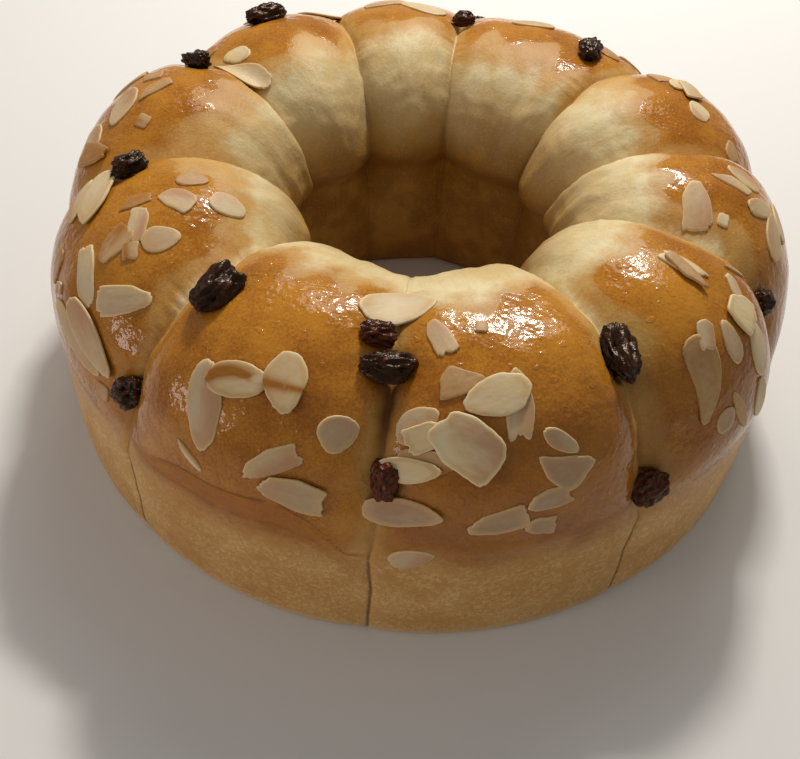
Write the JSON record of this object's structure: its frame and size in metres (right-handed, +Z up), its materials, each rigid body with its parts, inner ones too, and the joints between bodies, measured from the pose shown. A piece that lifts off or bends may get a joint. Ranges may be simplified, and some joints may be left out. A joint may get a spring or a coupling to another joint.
{
  "type": "round challah",
  "caption": "Ring-shaped enriched loaf baked from joined balls of dough, with a glossy crust, almond flakes and raisins pressed into the joins.",
  "frame": {"origin": "middle of the loaf's underside, on the axis of the hole", "axes": "+Z up through the hole; the side at -Y is the one that faces the viewer"},
  "size_m": [0.2399, 0.2403, 0.0922],
  "materials": {
    "crust": "egg-washed golden brown crust",
    "raisin": "dark, wrinkled and slightly glossy"
  },
  "bodies": {
    "root": {"bread": "crust", "raisin_1": "raisin", "raisin_2": "raisin", "raisin_3": "raisin", "raisin_4": "raisin", "raisin_5": "raisin", "raisin_6": "raisin", "raisin_7": "raisin", "raisin_8": "raisin", "raisin_9": "raisin", "raisin_10": "raisin", "raisin_11": "raisin", "raisin_12": "raisin", "raisin_13": "raisin", "raisin_14": "raisin", "raisin_15": "raisin", "raisin_16": "raisin", "raisin_17": "raisin", "raisin_18": "raisin"}
  },
  "joints": []
}
